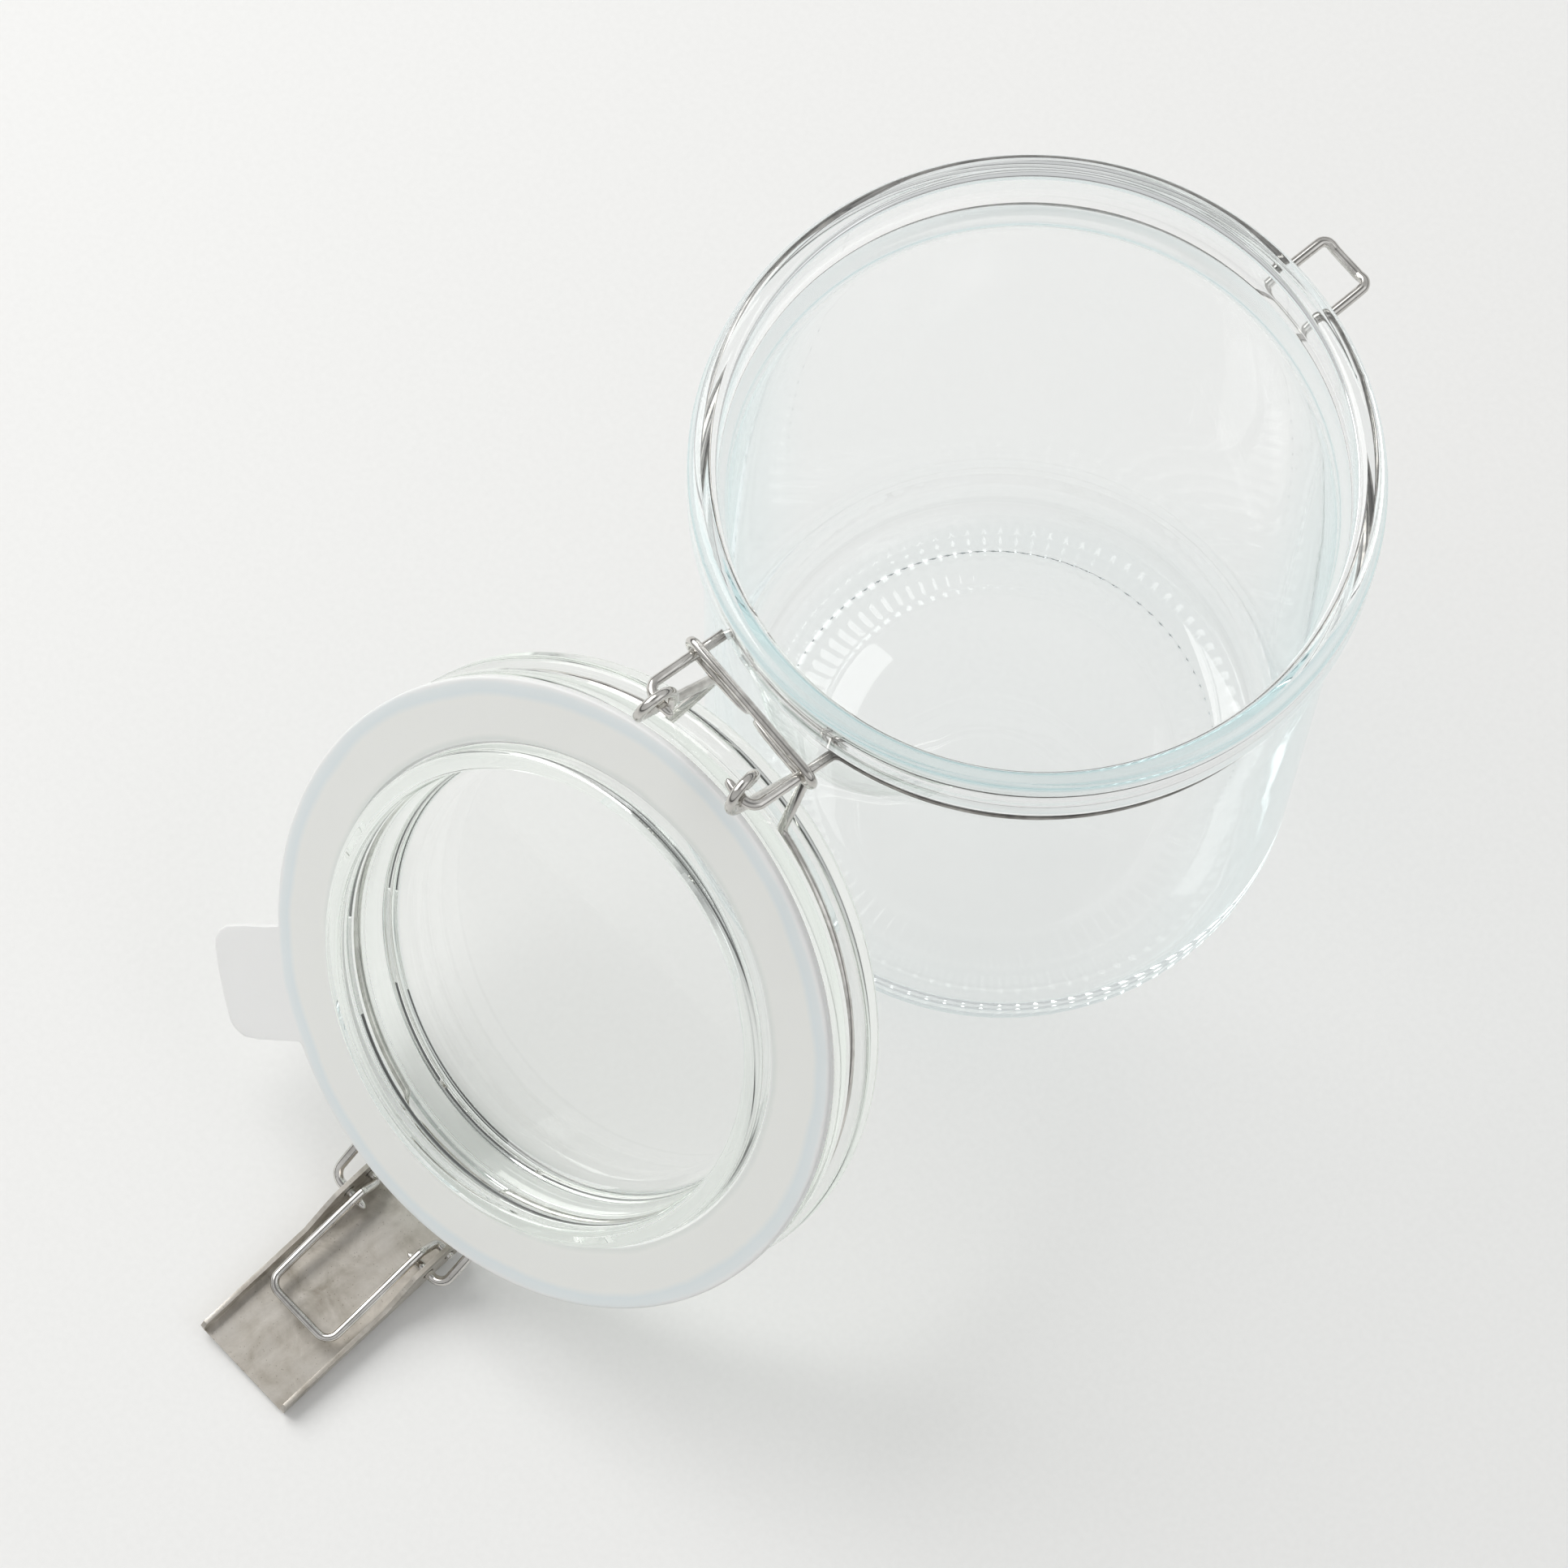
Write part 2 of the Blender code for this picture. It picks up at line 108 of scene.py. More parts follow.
# Materials
GLASS_IOR = 1.51
GLASS_EDGE_FALLOFF = 0.35
MOST_INNER_REFLECTIONS = 2      # past these a ray goes straight on, so that thick edges stay bright
VEIL = (0.84, 0.86, 0.865)      # colour of the light that crosses glass seen edge on
SMUDGE_ROUGHNESS = 0.045
GROOVE_SHADE = 0.46             # how much painted shade darkens the neck wire where it lies in the neck groove
JAR_GLASS = {
    "edge_tint": (0.60, 0.91, 0.945), "absorb": (0.38, 0.86, 0.90),
    "density": 3.4, "wave": 40.0, "bump": 0.03,
}
LID_GLASS = {
    "edge_tint": (0.76, 0.90, 0.76), "absorb": (0.50, 0.84, 0.56),
    "density": 4.5, "wave": 45.0, "bump": 0.008,
}
DRAWN_WIRE = {
    "dark": (0.46, 0.445, 0.42), "light": (0.78, 0.765, 0.735), "smooth": 0.07, "rough": 0.15,
    "scratch_scale": 700.0, "bump": 0.035,
}
SATIN_SHEET = {
    "dark": (0.33, 0.30, 0.255), "light": (0.71, 0.675, 0.62), "smooth": 0.30, "rough": 0.46,
    "scratch_scale": 420.0, "bump": 0.25,
}
# Colours from the gasket's inner edge to its outer edge
SILICONE_BANDS = (
    (0.0, (0.96, 0.97, 0.96)),
    (0.06, (0.85, 0.88, 0.85)),
    (0.14, (0.95, 0.96, 0.925)),
    (0.70, (0.945, 0.955, 0.92)),
    # painted see-through tint: this bluish band stands in for what shows through the silicone
    (0.80, (0.84, 0.90, 0.915)),
    (0.92, (0.87, 0.92, 0.93)),
    (0.99, (0.97, 0.975, 0.965)),
)

# Camera and studio
FLOOR_DARK = (0.86, 0.86, 0.85)
FLOOR_LIGHT = (0.88, 0.88, 0.87)
FLOOR_HALF = 12.0
SKY_STRENGTH = 0.62
# Greys of the surroundings by height of direction; the dark band gives glass and steel their edges
SKY_GREYS = (
    (0.0, (1.0, 1.0, 0.99)),
    (0.07, (0.85, 0.85, 0.85)),
    (0.11, (0.10, 0.10, 0.10)),
    (0.20, (0.12, 0.12, 0.12)),
    (0.28, (0.90, 0.90, 0.90)),
    (0.5, (1.0, 1.0, 1.0)),
    (0.88, (1.0, 1.0, 1.0)),
    (0.97, (0.42, 0.42, 0.42)),
)
CAMERA_PLACE = (-0.21608, 0.1866, 0.86799)
CAMERA_TURN = (19.8363, -0.7537, -129.1618)           # degrees
CAMERA_LENS = 123.86


# Poses: pieces are made as they sit when the canister is shut, then turned to the open pose

def joint_turn(name, degrees):
    joint = next(j for j in frame["joints"] if j["name"] == name)
    place = Vector(joint["pos_m"])
    turn = Matrix.Rotation(math.radians(degrees), 4, Vector(joint["axis"]))
    return Matrix.Translation(place) @ turn @ Matrix.Translation(-place)


def joint_limit(name, end):
    return next(j for j in frame["joints"] if j["name"] == name)["range_deg"][end]


OPEN_LID = joint_turn("lid_hinge", -joint_limit("lid_hinge", 1))


# Mesh helpers

def arc(centre, radius, start, end, steps):
    """Points (radius, height) on an arc, from start to end degrees; a pair of radii gives an ellipse."""
    a, b = radius if isinstance(radius, tuple) else (radius, radius)
    angles = [math.radians(start + (end - start) * i / steps) for i in range(steps + 1)]
    return [(centre[0] + a * math.cos(t), centre[1] + b * math.sin(t)) for t in angles]


def lathe(outline, steps, closed=False):
    """A bmesh turned about the jar's axis from an outline of (radius, height)."""
    bm = bmesh.new()
    verts = [bm.verts.new((r, 0, z)) for r, z in outline]
    edges = [bm.edges.new(pair) for pair in zip(verts, verts[1:])]
    if closed:
        edges.append(bm.edges.new((verts[-1], verts[0])))
    bmesh.ops.spin(
        bm, geom=verts + edges, cent=(0, 0, 0), axis=(0, 0, 1), angle=math.tau, steps=steps, use_merge=True
    )
    bmesh.ops.remove_doubles(bm, verts=bm.verts, dist=0.000005)
    bmesh.ops.recalc_face_normals(bm, faces=bm.faces)
    return bm


def finish_piece(bm, name, node, body, mat, place=None, sharp=40, even_flats=False):
    """Names a bmesh, puts it in its place in the mesh, and has it stand for its node."""
    if place is not None:
        bmesh.ops.transform(bm, matrix=place, verts=bm.verts)
    mesh = bpy.data.meshes.new(name)
    bm.to_mesh(mesh)
    bm.free()
    mesh.shade_smooth()
    mesh.set_sharp_from_angle(angle=math.radians(sharp))
    piece = bpy.data.objects.new(name, mesh)
    bpy.context.collection.objects.link(piece)
    piece.data.materials.append(mat)
    if even_flats:
        flats = piece.modifiers.new("even_flats", "WEIGHTED_NORMAL")
        flats.keep_sharp = True
    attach(piece, body)
    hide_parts(node)
    return piece


def column(vert):
    """Which column of the turned jar a vertex belongs to."""
    angle = math.atan2(vert.co.y, vert.co.x) % math.tau
    return round(angle / math.tau * JAR_STEPS) % JAR_STEPS


# Material helpers

def new_material(name):
    mat = bpy.data.materials.new(name)
    mat.use_nodes = True
    nodes = mat.node_tree.nodes
    return mat, nodes, mat.node_tree.links, nodes["Principled BSDF"]


def group_with(name, inputs, outputs):
    """An empty shader node group with float inputs (name: default) and named outputs."""
    group = bpy.data.node_groups.new(name, "ShaderNodeTree")
    for label, default in inputs.items():
        socket = group.interface.new_socket(label, in_out="INPUT", socket_type="NodeSocketFloat")
        socket.default_value = default
    for label in outputs:
        group.interface.new_socket(label, in_out="OUTPUT", socket_type="NodeSocketFloat")
    return group, group.nodes.new("NodeGroupInput"), group.nodes.new("NodeGroupOutput")


def add_noise(tree, coords, scale, detail=3.0, rough=0.5, stretch=None, distortion=0.0):
    """A noise texture on object coordinates, optionally stretched."""
    noise = tree.nodes.new("ShaderNodeTexNoise")
    noise.inputs["Scale"].default_value = scale
    noise.inputs["Detail"].default_value = detail
    noise.inputs["Roughness"].default_value = rough
    noise.inputs["Distortion"].default_value = distortion
    if stretch:
        mapping = tree.nodes.new("ShaderNodeMapping")
        mapping.inputs["Scale"].default_value = stretch
        tree.links.new(coords, mapping.inputs["Vector"])
        coords = mapping.outputs["Vector"]
    tree.links.new(coords, noise.inputs["Vector"])
    return noise.outputs["Fac"]


def add_range(tree, value, low, high, out_low, out_high):
    node = tree.nodes.new("ShaderNodeMapRange")
    node.inputs["From Min"].default_value = low
    node.inputs["From Max"].default_value = high
    node.inputs["To Min"].default_value = out_low
    node.inputs["To Max"].default_value = out_high
    tree.links.new(value, node.inputs["Value"])
    return node.outputs["Result"]


def add_math(tree, operation, a, b):
    node = tree.nodes.new("ShaderNodeMath")
    node.operation = operation
    for socket, value in zip(node.inputs, (a, b)):
        if isinstance(value, (int, float)):
            socket.default_value = value
        else:
            tree.links.new(value, socket)
    return node.outputs["Value"]


def add_ramp(tree, value, stops):
    node = tree.nodes.new("ShaderNodeValToRGB")
    ramp = node.color_ramp
    while len(ramp.elements) < len(stops):
        ramp.elements.new(0.5)
    for element, (place, colour) in zip(ramp.elements, stops):
        element.position = place
        element.color = (*colour, 1)
    tree.links.new(value, node.inputs["Fac"])
    return node.outputs["Color"]


def add_bump(tree, height, strength, distance):
    node = tree.nodes.new("ShaderNodeBump")
    node.inputs["Strength"].default_value = strength
    node.inputs["Distance"].default_value = distance
    tree.links.new(height, node.inputs["Height"])
    return node.outputs["Normal"]


def pressed_glass_group():
    """Slow waves left by the mould, fine grain, and smudges from handling."""
    group, source, sink = group_with(
        "pressed_glass_surface", {"Wave Scale": 45.0, "Smudge Scale": 60.0}, ("Height", "Smudge")
    )
    coords = group.nodes.new("ShaderNodeTexCoord").outputs["Object"]
    waves = group.nodes.new("ShaderNodeTexNoise")
    waves.inputs["Detail"].default_value = 1.0
    smudge = group.nodes.new("ShaderNodeTexNoise")
    smudge.inputs["Detail"].default_value = 4.0
    smudge.inputs["Distortion"].default_value = 0.8
    for noise, label in ((waves, "Wave Scale"), (smudge, "Smudge Scale")):
        group.links.new(coords, noise.inputs["Vector"])
        group.links.new(source.outputs[label], noise.inputs["Scale"])
    fine = add_noise(group, coords, 900.0, detail=2.0)
    height = add_math(group, "ADD", waves.outputs["Fac"], add_math(group, "MULTIPLY", fine, 0.01))
    group.links.new(height, sink.inputs["Height"])
    group.links.new(add_range(group, smudge.outputs["Fac"], 0.52, 0.72, 0, 1), sink.inputs["Smudge"])
    return group


def metal_wear_group():
    """Handling marks for the steel: cloudy patina, fine scratches and small pits."""
    group, source, sink = group_with(
        "metal_wear", {"Cloud Scale": 180.0, "Scratch Scale": 500.0}, ("Cloud", "Scratch", "Pit")
    )
    coords = group.nodes.new("ShaderNodeTexCoord").outputs["Object"]
    cloud = group.nodes.new("ShaderNodeTexNoise")
    cloud.inputs["Detail"].default_value = 6.0
    cloud.inputs["Roughness"].default_value = 0.62
    cloud.inputs["Distortion"].default_value = 0.5
    group.links.new(coords, cloud.inputs["Vector"])
    group.links.new(source.outputs["Cloud Scale"], cloud.inputs["Scale"])
    mapping = group.nodes.new("ShaderNodeMapping")
    mapping.inputs["Rotation"].default_value = (0.0, 0.0, math.radians(8))
    mapping.inputs["Scale"].default_value = (1.0, 0.045, 1.0)
    group.links.new(coords, mapping.inputs["Vector"])
    scratch = group.nodes.new("ShaderNodeTexNoise")
    scratch.inputs["Detail"].default_value = 5.0
    group.links.new(mapping.outputs["Vector"], scratch.inputs["Vector"])
    group.links.new(source.outputs["Scratch Scale"], scratch.inputs["Scale"])
    pits = group.nodes.new("ShaderNodeTexVoronoi")
    pits.inputs["Scale"].default_value = 1300.0
    group.links.new(coords, pits.inputs["Vector"])
    group.links.new(cloud.outputs["Fac"], sink.inputs["Cloud"])
    group.links.new(scratch.outputs["Fac"], sink.inputs["Scratch"])
    group.links.new(add_range(group, pits.outputs["Distance"], 0.06, 0.16, 1, 0), sink.inputs["Pit"])
    return group


def place_group(tree, group, **values):
    node = tree.nodes.new("ShaderNodeGroup")
    node.node_tree = group
    for label, value in values.items():
        node.inputs[label.replace("_", " ")].default_value = value
    return node


# Materials

def glass_material(name, surface, edge_tint, absorb, density, wave, bump):
    """Clear soda-lime glass, coloured by its thickness, with mould waves and a few smudges."""
    mat, nodes, links, shader = new_material(name)
    tree = mat.node_tree
    facing = nodes.new("ShaderNodeLayerWeight")
    facing.inputs["Blend"].default_value = GLASS_EDGE_FALLOFF
    tint = add_ramp(tree, facing.outputs["Facing"], ((0.6, (1, 1, 1)), (0.97, edge_tint)))
    links.new(tint, shader.inputs["Base Color"])
    shader.inputs["Metallic"].default_value = 0.0
    shader.inputs["Transmission Weight"].default_value = 1.0
    shader.inputs["IOR"].default_value = GLASS_IOR
    marks = place_group(tree, surface, Wave_Scale=wave, Smudge_Scale=55.0)
    smudges = add_range(tree, marks.outputs["Smudge"], 0, 1, 0.0, SMUDGE_ROUGHNESS)
    links.new(smudges, shader.inputs["Roughness"])
    links.new(add_bump(tree, marks.outputs["Height"], bump, 1 * MM), shader.inputs["Normal"])
    path = nodes.new("ShaderNodeLightPath")
    trapped = add_math(tree, "GREATER_THAN", path.outputs["Glossy Depth"], MOST_INNER_REFLECTIONS)
    straight = add_math(tree, "MAXIMUM", path.outputs["Is Shadow Ray"], path.outputs["Is Diffuse Ray"])
    straight = add_math(tree, "MAXIMUM", straight, trapped)
    through = nodes.new("ShaderNodeBsdfTransparent")
    veil = add_ramp(tree, facing.outputs["Facing"], ((0.5, (1, 1, 1)), (1.0, VEIL)))
    links.new(veil, through.inputs["Color"])
    mix = nodes.new("ShaderNodeMixShader")
    links.new(straight, mix.inputs["Fac"])
    links.new(shader.outputs["BSDF"], mix.inputs[1])
    links.new(through.outputs["BSDF"], mix.inputs[2])
    links.new(mix.outputs["Shader"], nodes["Material Output"].inputs["Surface"])
    depth = nodes.new("ShaderNodeVolumeAbsorption")
    depth.inputs["Color"].default_value = (*absorb, 1)
    depth.inputs["Density"].default_value = density
    links.new(depth.outputs["Volume"], nodes["Material Output"].inputs["Volume"])
    return mat


def steel_material(name, wear, dark, light, smooth, rough, scratch_scale, bump, groove_shade=None):
    """Stainless steel with a cloudy patina, scratches and pits; given a groove shade, painted shade darkens
    it where it lies in the neck groove.
    """
    mat, nodes, links, shader = new_material(name)
    tree = mat.node_tree
    shader.inputs["Metallic"].default_value = 1.0
    marks = place_group(tree, wear, Cloud_Scale=150.0, Scratch_Scale=scratch_scale)
    scratch_tone = add_math(tree, "MULTIPLY", marks.outputs["Scratch"], 0.35)
    pit_tone = add_math(tree, "MULTIPLY", marks.outputs["Pit"], 0.25)
    tone = add_math(tree, "SUBTRACT", add_math(tree, "ADD", marks.outputs["Cloud"], scratch_tone), pit_tone)
    # painted shade: the wire is darkened by its distance from the jar's axis, where it lies in the neck
    # groove
    if groove_shade:
        centred = nodes.new("ShaderNodeMapping")
        centred.inputs["Location"].default_value = (-JAR_X, -JAR_Y, 0)
        centred.inputs["Scale"].default_value = (1, 1, 0)
        links.new(nodes.new("ShaderNodeTexCoord").outputs["Object"], centred.inputs["Vector"])
        reach = nodes.new("ShaderNodeVectorMath")
        reach.operation = "LENGTH"
        links.new(centred.outputs["Vector"], reach.inputs[0])
        inner, outer = RIM_RADIUS - 0.6 * MM, RIM_RADIUS + 1.5 * MM
        shade = add_range(tree, reach.outputs["Value"], inner, outer, groove_shade, 0)
        tone = add_math(tree, "SUBTRACT", tone, shade)
    # darkest colour, reached by the painted groove shade and by deep pits
    shade_and_pit_dark = [value * 0.35 for value in dark]
    colour = add_ramp(tree, tone, ((0.10, shade_and_pit_dark), (0.45, dark), (0.85, light)))
    links.new(colour, shader.inputs["Base Color"])
    links.new(add_range(tree, marks.outputs["Cloud"], 0.3, 0.7, rough, smooth), shader.inputs["Roughness"])
    pit_depth = add_math(tree, "MULTIPLY", marks.outputs["Pit"], 0.5)
    height = add_math(tree, "SUBTRACT", marks.outputs["Scratch"], pit_depth)
    links.new(add_bump(tree, height, bump, 0.05 * MM), shader.inputs["Normal"])
    return mat


def silicone_material():
    """Translucent off-white silicone with a fine matt grain and a little dust; a bluish band near its outer
    edge is a painted tint standing in for what shows through the silicone.
    """
    mat, nodes, links, shader = new_material("silicone_ring")
    tree = mat.node_tree
    coords = nodes.new("ShaderNodeTexCoord").outputs["Object"]
    cloud = add_noise(tree, coords, 70.0, detail=4.0)
    across = nodes.new("ShaderNodeAttribute")
    across.attribute_name = "across"
    width = add_math(tree, "ADD", across.outputs["Fac"], add_range(tree, cloud, 0.3, 0.7, -0.03, 0.03))
    links.new(add_ramp(tree, width, SILICONE_BANDS), shader.inputs["Base Color"])
    grain = add_noise(tree, coords, 2600.0, detail=3.0)
    sheen_noise = add_noise(tree, coords, 160.0)
    links.new(add_range(tree, sheen_noise, 0.3, 0.7, 0.36, 0.52), shader.inputs["Roughness"])
    links.new(add_bump(tree, grain, 0.12, 0.05 * MM), shader.inputs["Normal"])
    shader.inputs["IOR"].default_value = 1.41
    shader.inputs["Transmission Weight"].default_value = 0.18
    shader.inputs["Subsurface Weight"].default_value = 0.25
    shader.inputs["Subsurface Radius"].default_value = (1.0, 1.0, 0.95)
    shader.inputs["Subsurface Scale"].default_value = 2 * MM
    return mat


# Pieces

def jar_glass(mat):
    """Thick rolled rim, neck groove, straight body, rounded heel and a knurled ring under a domed floor."""
    rim_low = RIM_TOP - RIM_DEPTH
    inner = BODY_RADIUS - WALL
    outline = [(0, 3.1 * MM), (12 * MM, 3.0 * MM), (22 * MM, 2.7 * MM), (PUSH_EDGE - 2 * MM, 2.3 * MM)]
    outline += [(PUSH_EDGE, 1.7 * MM), (PUSH_EDGE + 1.5 * MM, 1.15 * MM), (FOOT_IN - 1.2 * MM, 0.95 * MM)]
    outline += [(FOOT_IN, 0.0), (FOOT_IN + 0.7 * MM, 0.0), (FOOT_OUT - 0.7 * MM, 0.0)]
    outline += arc((FOOT_OUT, HEEL_HEIGHT), (BODY_RADIUS - FOOT_OUT, HEEL_HEIGHT), -88, 0, 12)
    outline += [(BODY_RADIUS, z) for z in (40 * MM, 65 * MM, 90 * MM, NECK_LOW - 4 * MM)]
    outline += arc((BODY_RADIUS - 1.2 * MM, NECK_LOW - 1.0 * MM), 1.2 * MM, 0, 55, 3)
    outline += [(NECK_RADIUS, NECK_LOW + 0.8 * MM), (NECK_RADIUS, rim_low - 0.9 * MM)]
    outline += [(NECK_RADIUS + 0.5 * MM, rim_low - 0.25 * MM)]
    outline += arc((RIM_RADIUS - 1.5 * MM, rim_low + 1.6 * MM), 1.5 * MM, -80, -5, 5)
    outline += arc((RIM_RADIUS - 2.3 * MM, RIM_TOP - 2.3 * MM), 2.3 * MM, 0, 82, 7)
    outline += [((RIM_RADIUS + MOUTH_RADIUS) / 2, RIM_TOP)]
    outline += arc((MOUTH_RADIUS + 1.5 * MM, RIM_TOP - 1.6 * MM), 1.5 * MM, 98, 180, 6)
    outline += [(MOUTH_RADIUS, rim_low + 2 * MM), (MOUTH_RADIUS - 0.3 * MM, rim_low)]
    outline += [(MOUTH_RADIUS - 1.2 * MM, rim_low - 2.6 * MM), (MOUTH_RADIUS - 1.7 * MM, rim_low - 5 * MM)]
    outline += [(MOUTH_RADIUS - 1.6 * MM, NECK_LOW - 1 * MM), (inner - 0.1 * MM, NECK_LOW - 6 * MM)]
    outline += [(inner, z) for z in (90 * MM, 65 * MM, 40 * MM)]
    outline += arc((inner - 12 * MM, FLOOR_TOP + 12 * MM), 12 * MM, 0, -84, 10)
    outline += [(26 * MM, FLOOR_TOP + 0.3 * MM), (18 * MM, FLOOR_TOP + 0.9 * MM)]
    outline += [(10 * MM, FLOOR_TOP + 1.7 * MM), (0, FLOOR_TOP + FLOOR_RISE)]
    bm = lathe(outline, JAR_STEPS)
    for vert in bm.verts:
        radius = math.hypot(vert.co.x, vert.co.y)
        if vert.co.z < 1.1 * MM and radius > FOOT_IN - 1.3 * MM:
            vert.co.z += KNURL_DEPTH * (1 - math.cos(column(vert) * math.tau / KNURL_COLUMNS)) / 2
        if radius > NECK_RADIUS - 0.1 * MM and column(vert) in SEAM_STEPS and vert.co.z > HEEL_HEIGHT:
            grow = 1 + min(SEAM_HEIGHT, RIM_RADIUS - radius) / radius
            vert.co.x *= grow
            vert.co.y *= grow
    place = Matrix.Translation((JAR_X, JAR_Y, 0))
    return finish_piece(
        bm, "jar_glass", "glass_jar", "jar", mat, place, sharp=50, even_flats=True
    )


def lid_glass(mat):
    """Flat raised top, deep wire groove, rounded skirt, plug ring and hollow underside."""
    outline = [(0, LID_PANEL), (30 * MM, LID_PANEL)]
    outline += arc((LID_RADIUS - 8.6 * MM, LID_PANEL + 0.8 * MM), 0.8 * MM, -90, -40, 3)
    outline += arc((LID_RADIUS - 6.4 * MM, LID_TOP - 0.8 * MM), 0.8 * MM, 140, 90, 3)
    outline += arc((LID_RADIUS - 2.4 * MM, LID_TOP - 2.4 * MM), 2.4 * MM, 90, 0, 7)
    outline += arc((LID_RADIUS - 1.5 * MM, GROOVE_HIGH + 1.6 * MM), 1.5 * MM, 0, -80, 5)
    outline += arc((GROOVE_RADIUS + 0.6 * MM, GROOVE_HIGH - 0.6 * MM), 0.6 * MM, 90, 180, 3)
    outline += arc((GROOVE_RADIUS + 0.6 * MM, GROOVE_LOW + 0.6 * MM), 0.6 * MM, 180, 270, 3)
    outline += arc((LID_RADIUS - 1.0 * MM, GROOVE_LOW - 0.75 * MM), 0.75 * MM, 85, 0, 4)
    outline += arc((LID_RADIUS - 4.2 * MM, SEAT + 4.0 * MM), (3.95 * MM, 3.95 * MM), 0, -86, 8)
    outline += [(PLUG_RADIUS + 3.5 * MM, SEAT + 0.03 * MM)]
    outline += arc((PLUG_RADIUS + 0.7 * MM, SEAT - 0.7 * MM), 0.7 * MM, 90, 180, 3)
    outline += arc((PLUG_RADIUS - 1.3 * MM, PLUG_LOW + 1.3 * MM), 1.3 * MM, 0, -90, 5)
    outline += arc((RECESS_RADIUS + 1.1 * MM, PLUG_LOW + 1.1 * MM), 1.1 * MM, -90, -180, 5)
    outline += [(RECESS_RADIUS - 0.2 * MM, SEAT + 3 * MM)]
    outline += arc((RECESS_RADIUS - 3.3 * MM, RECESS_TOP - 2.6 * MM), (2.8 * MM, 2.6 * MM), 0, 88, 7)
    outline += [(25 * MM, RECESS_TOP), (0, RECESS_TOP)]
    bm = lathe(outline, LID_STEPS)
    place = OPEN_LID @ Matrix.Translation((JAR_X, JAR_Y, RIM_TOP))
    return finish_piece(
        bm, "lid_glass", "glass_lid", "lid", mat, place, sharp=50, even_flats=True
    )


def tab_reach(angle):
    """How far the gasket's edge reaches in a direction, in radians from the middle of the tab."""
    reach = GASKET_OUTER
    while reach < TAB_REACH:
        along, across = reach * math.cos(angle), abs(reach * math.sin(angle))
        over_end = max(along - (TAB_REACH - TAB_CORNER), 0)
        over_side = max(across - (TAB_HALF - TAB_CORNER), 0)
        if across > TAB_HALF or math.hypot(over_end, over_side) > TAB_CORNER:
            break
        reach += 0.05 * MM
    return reach


def gasket_ring(mat):
    """Flat ring with softened edges; its outer edge is drawn out into the pull tab."""
    low, high = GASKET_LOW, GASKET_LOW + GASKET_THICK
    soft = 0.35 * MM
    outline = [(GASKET_INNER + soft, low)]
    outline += [(radius * MM, low) for radius in (43, 44, 46, 48, 49.5, 50.2, 50.8, 51.4, 52)]
    outline += arc((GASKET_OUTER - soft, low + soft), soft, -90, 0, 3)
    outline += arc((GASKET_OUTER - soft, high - soft), soft, 0, 90, 3)
    outline += [(50 * MM, high), (46 * MM, high), (GASKET_INNER + soft, high)]
    outline += [(GASKET_INNER, high - soft), (GASKET_INNER, low + soft)]
    bm = lathe(outline, GASKET_STEPS, closed=True)
    middle = math.radians(TAB_ANGLE - 90)
    for vert in bm.verts:
        radius = math.hypot(vert.co.x, vert.co.y)
        away = math.atan2(vert.co.y, vert.co.x) - middle
        away = (away + math.pi) % math.tau - math.pi
        if radius > 51 * MM and abs(away) < math.radians(14):
            grow = (radius + tab_reach(away) - GASKET_OUTER) / radius
            vert.co.x *= grow
            vert.co.y *= grow
    across = bm.verts.layers.float.new("across")
    for vert in bm.verts:
        vert[across] = (math.hypot(vert.co.x, vert.co.y) - GASKET_INNER) / (GASKET_OUTER - GASKET_INNER)
    place = OPEN_LID @ Matrix.Translation((JAR_X, JAR_Y, RIM_TOP))
    return finish_piece(bm, "gasket_ring", "gasket", "lid", mat, place)


def smooth_wire(node, name, body, mat):
    """The node's own wire, rounded: merged, its flats spread a little and subdivided."""
    bm = bmesh.new()
    bm.from_mesh(frame["nodes"][node].data)
    bmesh.ops.remove_doubles(bm, verts=bm.verts, dist=0.000002)
    bmesh.ops.recalc_face_normals(bm, faces=bm.faces)
    bmesh.ops.join_triangles(bm, faces=bm.faces, angle_face_threshold=0.7, angle_shape_threshold=3.0)
    bm.normal_update()
    for vert in bm.verts:
        vert.co += vert.normal * WIRE_SPREAD
    piece = finish_piece(bm, name, node, body, mat, sharp=80)
    rounding = piece.modifiers.new("rounding", "SUBSURF")
    rounding.levels = rounding.render_levels = 2
    return piece


def lever_sheet(mat):
    """The lever's folded sheet with its sheared edges softened."""
    bm = bmesh.new()
    bm.from_mesh(frame["nodes"]["latch_lever"].data)
    bmesh.ops.remove_doubles(bm, verts=bm.verts, dist=0.000002)
    bmesh.ops.dissolve_limit(bm, angle_limit=math.radians(1), verts=bm.verts, edges=bm.edges)
    bmesh.ops.recalc_face_normals(bm, faces=bm.faces)
    piece = finish_piece(bm, "lever_sheet", "latch_lever", "lever", mat, sharp=30)
    soften = piece.modifiers.new("sheared_edges", "BEVEL")
    soften.width = SHEARED_EDGE
    soften.segments = 3
    soften.limit_method = "ANGLE"
    soften.angle_limit = math.radians(40)
    soften.harden_normals = True
    return piece


# Studio

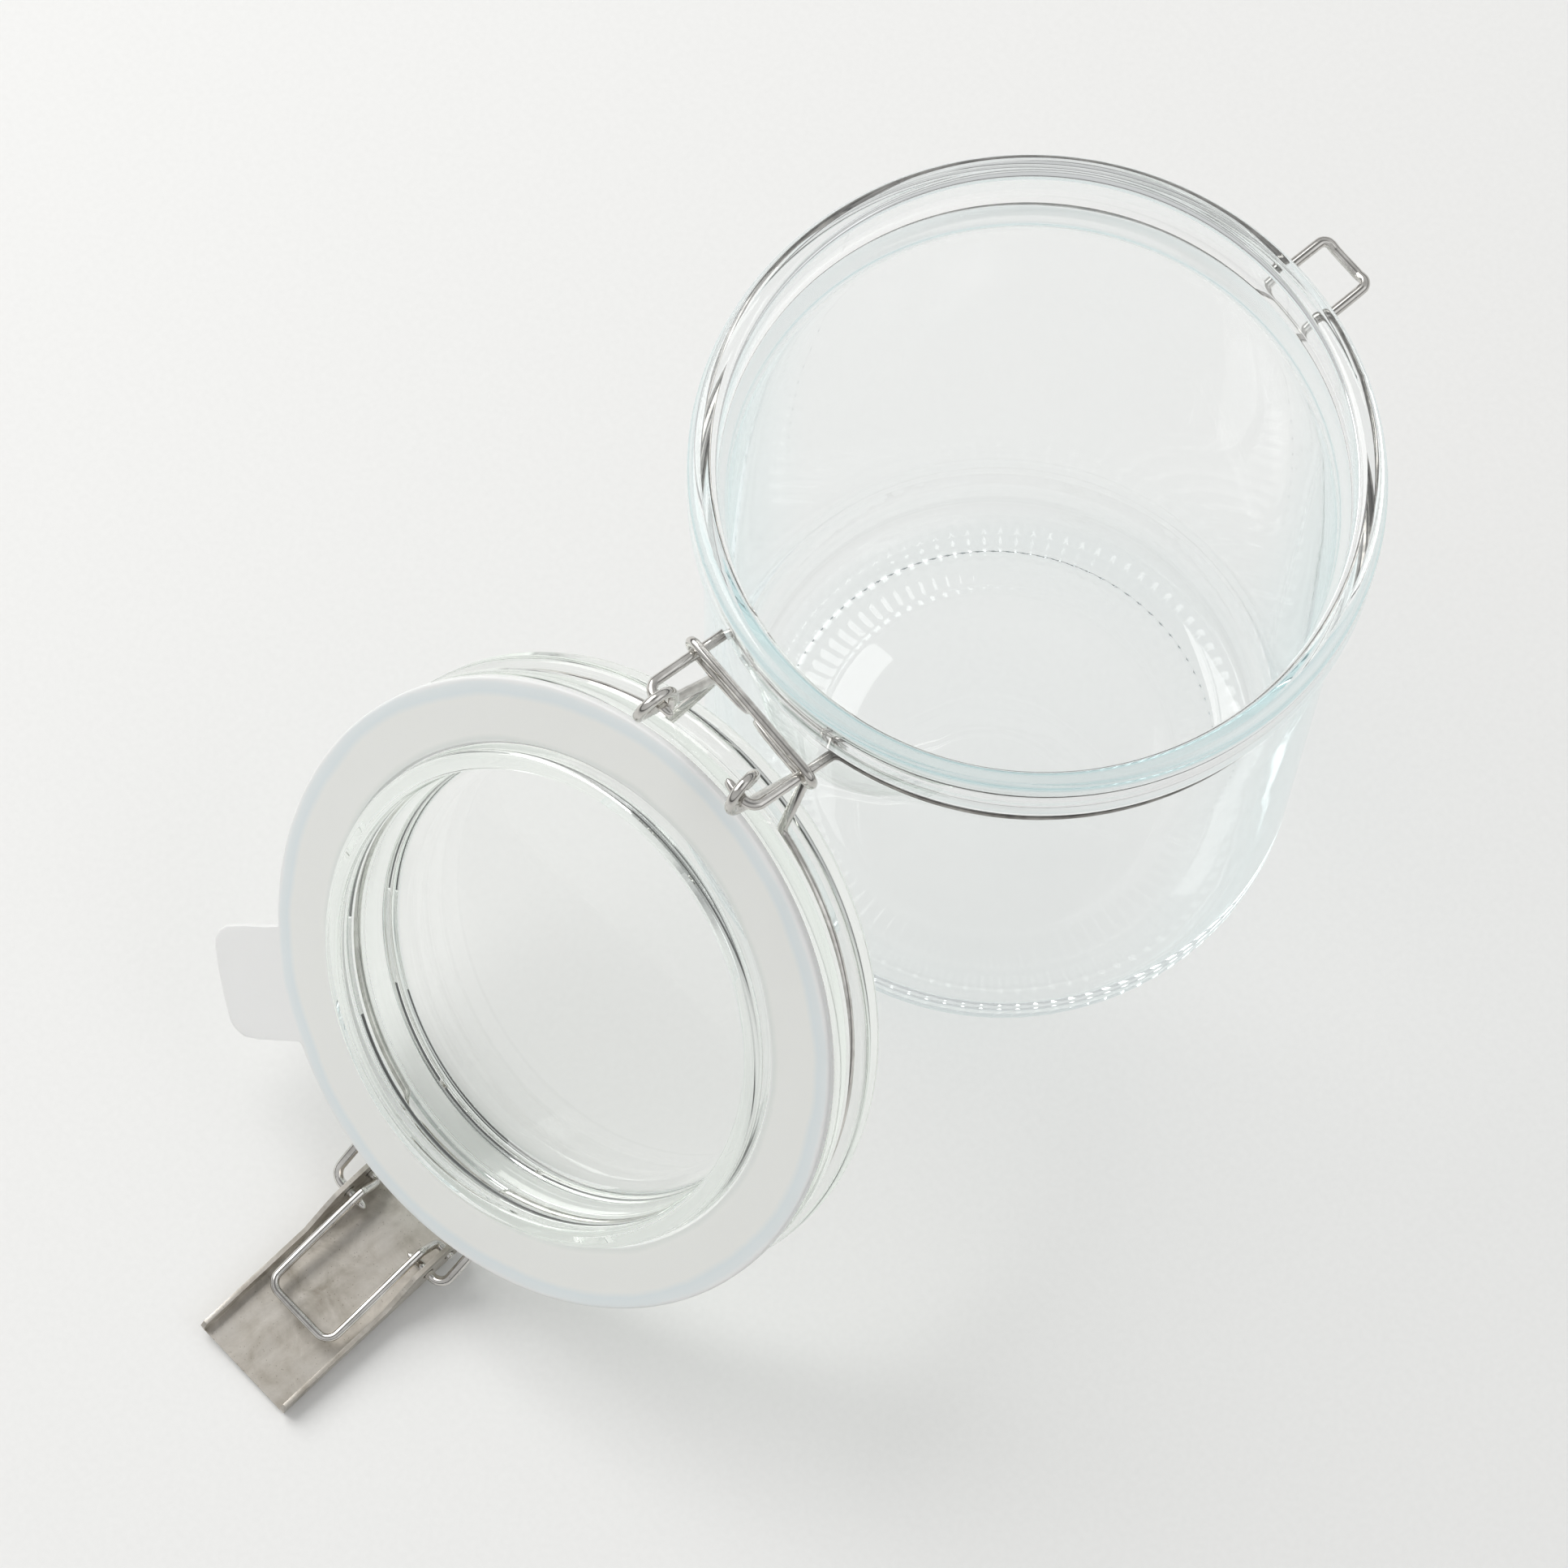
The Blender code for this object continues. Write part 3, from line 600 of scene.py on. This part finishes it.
def studio_floor():
    """A wide flat pale floor with a faint paper grain."""
    bm = bmesh.new()
    bmesh.ops.create_grid(bm, x_segments=1, y_segments=1, size=FLOOR_HALF)
    mesh = bpy.data.meshes.new("studio_floor")
    bm.to_mesh(mesh)
    bm.free()
    floor = bpy.data.objects.new("studio_floor", mesh)
    bpy.context.collection.objects.link(floor)
    mat, nodes, links, shader = new_material("pale_paper")
    coords = nodes.new("ShaderNodeTexCoord").outputs["Object"]
    grain = add_noise(mat.node_tree, coords, 900.0, detail=4.0)
    tone = add_ramp(mat.node_tree, grain, ((0.3, FLOOR_DARK), (0.7, FLOOR_LIGHT)))
    links.new(tone, shader.inputs["Base Color"])
    shader.inputs["Roughness"].default_value = 0.75
    shader.inputs["Specular IOR Level"].default_value = 0.2
    floor.data.materials.append(mat)
    floor.location.z = -0.05 * MM


def soft_light(name, place, aim, size, power, colour=(1, 1, 1)):
    light = bpy.data.lights.new(name, "AREA")
    light.shape = "RECTANGLE"
    light.size, light.size_y = size
    light.energy = power
    light.color = colour
    lamp = bpy.data.objects.new(name, light)
    lamp.location = place
    lamp.rotation_euler = (Vector(aim) - Vector(place)).to_track_quat("-Z", "Y").to_euler()
    bpy.context.collection.objects.link(lamp)


def studio_air():
    """Soft pale surroundings with one dark band low down and a darker patch overhead."""
    world = bpy.data.worlds.new("studio_air")
    bpy.context.scene.world = world
    world.use_nodes = True
    tree = world.node_tree
    direction = tree.nodes.new("ShaderNodeTexCoord").outputs["Generated"]
    split = tree.nodes.new("ShaderNodeSeparateXYZ")
    tree.links.new(direction, split.inputs["Vector"])
    sky = add_ramp(tree, split.outputs["Z"], SKY_GREYS)
    tree.links.new(sky, tree.nodes["Background"].inputs["Color"])
    tree.nodes["Background"].inputs["Strength"].default_value = SKY_STRENGTH
    bpy.context.scene.view_settings.view_transform = "Standard"


def studio_camera():
    lens = bpy.data.cameras.new("studio_camera")
    lens.lens = CAMERA_LENS
    lens.sensor_width = 36.0
    camera = bpy.data.objects.new("studio_camera", lens)
    camera.location = CAMERA_PLACE
    camera.rotation_euler = [math.radians(angle) for angle in CAMERA_TURN]
    bpy.context.collection.objects.link(camera)
    bpy.context.scene.camera = camera


def dress_canister():
    surface = pressed_glass_group()
    wear = metal_wear_group()
    clear = glass_material("clear_jar_glass", surface, **JAR_GLASS)
    green = glass_material("clear_lid_glass", surface, **LID_GLASS)
    neck = steel_material("groove_wire", wear, **DRAWN_WIRE, groove_shade=GROOVE_SHADE)
    wire = steel_material("drawn_wire", wear, **DRAWN_WIRE)
    sheet = steel_material("satin_sheet", wear, **SATIN_SHEET)
    jar_glass(clear)
    lid_glass(green)
    gasket_ring(silicone_material())
    smooth_wire("neck_wire", "neck_wire_round", "jar", neck)
    smooth_wire("hinge_link", "hinge_link_round", "jar", wire)
    smooth_wire("lid_wire_left", "lid_wire_left_round", "lid", wire)
    smooth_wire("lid_wire_right", "lid_wire_right_round", "lid", wire)
    smooth_wire("bail", "bail_round", "bail_loop", wire)
    lever_sheet(sheet)


dress_canister()
studio_floor()
studio_air()
soft_light("window_light", (1.15, 0.25, 1.25), (0.05, 0, 0.05), (1.3, 1.3), 19.5, (1.0, 0.995, 0.98))
soft_light("fill_light", (-1.3, -0.7, 1.6), (0, 0, 0.05), (1.4, 1.4), 2.5, (0.97, 0.985, 1.0))
studio_camera()
